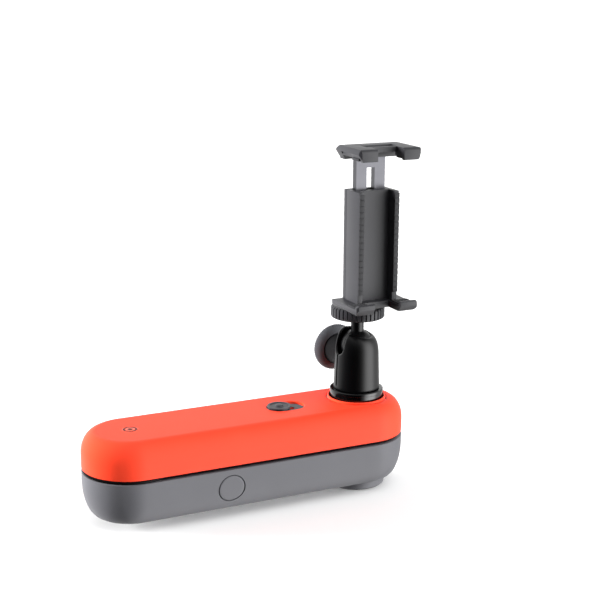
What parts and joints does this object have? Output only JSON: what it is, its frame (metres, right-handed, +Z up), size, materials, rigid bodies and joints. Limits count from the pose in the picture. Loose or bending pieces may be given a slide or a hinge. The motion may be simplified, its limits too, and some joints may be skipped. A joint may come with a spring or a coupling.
{
  "type": "camera slider",
  "caption": "Motorised folding-arm camera slider: two stacked arms swing so a ball head with a phone clamp travels in a straight line over a tripod foot.",
  "frame": {"origin": "centre of the foot's underside, on the axis of the tripod thread", "axes": "+Z up, the arms run from the foot towards -X to the elbow, the clamp's lips and the side button face -Y"},
  "size_m": [0.1706, 0.056, 0.1787],
  "materials": {
    "orange_shell": "fine satin moulded shell",
    "grey_shell": "fine satin moulded shell",
    "dark_plastic": "satin moulded plastic",
    "black_ring": "matt black thrust ring",
    "black_metal": "satin black anodised look",
    "gloss_black": "gloss black",
    "rubber": "matt rubber",
    "steel": "plain steel",
    "aluminium": "turned aluminium",
    "brass": "turned brass",
    "circuit_board": "green solder mask",
    "battery_wrap": "blue-grey wrap",
    "light_lens": "tinted light lens"
  },
  "bodies": {
    "foot": {"foot": "grey_shell", "foot_pad": "rubber", "thread_insert": "brass", "foot_spindle": "steel", "foot_pulley": "aluminium", "drive_gear": "brass", "foot_clip": "steel"},
    "lower_arm": {"lower_case": "grey_shell", "lower_lid": "dark_plastic", "lower_screws": "steel", "foot_bearing": "steel", "elbow_bush": "brass", "elbow_post": "steel", "elbow_fixed_pulley": "aluminium", "elbow_ring": "black_ring", "lower_belt": "rubber", "gear_motor": "steel", "main_board": "circuit_board", "usb_socket": "steel", "button_switch": "dark_plastic"},
    "pinion": {"drive_pinion": "brass"},
    "side_button": {"side_button": "grey_shell", "button_plunger": "dark_plastic"},
    "upper_arm": {"upper_case": "orange_shell", "upper_base": "dark_plastic", "upper_screws": "steel", "elbow_shaft": "steel", "elbow_drive_pulley": "aluminium", "elbow_bearing": "steel", "head_bearing": "steel", "upper_belt": "rubber", "battery": "battery_wrap", "control_board": "circuit_board", "slide_switch_body": "dark_plastic", "status_light": "light_lens"},
    "slide_switch": {"slide_button": "dark_plastic", "slide_carrier": "dark_plastic"},
    "head_turret": {"head_spindle": "steel", "head_pulley": "aluminium", "head_clip": "steel", "turret_ring": "orange_shell", "head_base": "gloss_black", "pan_bolt": "steel"},
    "ball_housing": {"head_housing": "black_metal", "ball_cup": "brass"},
    "lock_knob": {"knob_hub": "dark_plastic", "knob_rim": "rubber", "knob_screw": "steel"},
    "ball": {"head_ball": "black_metal", "head_stem": "black_metal"},
    "lock_wheel": {"lock_wheel": "dark_plastic"},
    "clamp": {"clamp_base": "dark_plastic", "spine_cover": "dark_plastic", "spine_screws": "steel", "lower_pads": "rubber", "rib_pads": "rubber", "jaw_spring": "steel"},
    "jaw": {"upper_jaw": "dark_plastic", "jaw_tongue": "steel", "upper_pads": "rubber"}
  },
  "joints": [
    {"name": "lower_arm_swing", "type": "hinge", "parent": "foot", "child": "lower_arm", "pos_m": [0, 0, 0.0085], "axis": [0, 0, 1], "range_deg": [-46, 46]},
    {"name": "elbow_turn", "type": "hinge", "parent": "lower_arm", "child": "upper_arm", "pos_m": [-0.123, 0, 0.0307], "axis": [0, 0, 1], "range_deg": [-92, 92]},
    {"name": "head_counter_turn", "type": "hinge", "parent": "upper_arm", "child": "head_turret", "pos_m": [0, 0, 0.0334], "axis": [0, 0, 1], "range_deg": [-46, 46]},
    {"name": "pinion_turn", "type": "hinge", "parent": "lower_arm", "child": "pinion", "pos_m": [-0.02025, 0, 0.0198], "axis": [0, 0, 1], "range_deg": [-203, 203]},
    {"name": "side_button_press", "type": "slide", "parent": "lower_arm", "child": "side_button", "axis": [0, 1, 0], "range_m": [0, 0.001], "stiffness_N_per_m": 500},
    {"name": "slide_switch_travel", "type": "slide", "parent": "upper_arm", "child": "slide_switch", "axis": [1, 0, 0], "range_m": [0, 0.007]},
    {"name": "head_pan", "type": "hinge", "parent": "head_turret", "child": "ball_housing", "pos_m": [0, 0, 0.0541], "axis": [0, 0, 1], "continuous": true},
    {"name": "ball_tilt", "type": "hinge", "parent": "ball_housing", "child": "ball", "pos_m": [0, 0, 0.0741], "axis": [0, -1, 0], "range_deg": [-27, 90]},
    {"name": "lock_knob_turn", "type": "hinge", "parent": "ball_housing", "child": "lock_knob", "pos_m": [0, 0.0175, 0.0667], "axis": [0, 1, 0], "range_deg": [0, 360]},
    {"name": "lock_wheel_turn", "type": "hinge", "parent": "ball", "child": "lock_wheel", "pos_m": [0, 0, 0.092], "axis": [0, 0, 1], "range_deg": [-360, 0]},
    {"name": "clamp_swivel", "type": "hinge", "parent": "ball", "child": "clamp", "pos_m": [0, 0, 0.0965], "axis": [0, 0, 1], "continuous": true},
    {"name": "jaw_slide", "type": "slide", "parent": "clamp", "child": "jaw", "axis": [0, 0, 1], "range_m": [-0.0155, 0.0195], "deforming": ["jaw_spring"]}
  ],
  "couplings": [
    {"joint": "elbow_turn", "follows": "lower_arm_swing", "ratio": -2},
    {"joint": "head_counter_turn", "follows": "lower_arm_swing", "ratio": 1},
    {"joint": "pinion_turn", "follows": "lower_arm_swing", "ratio": 4.4}
  ]
}
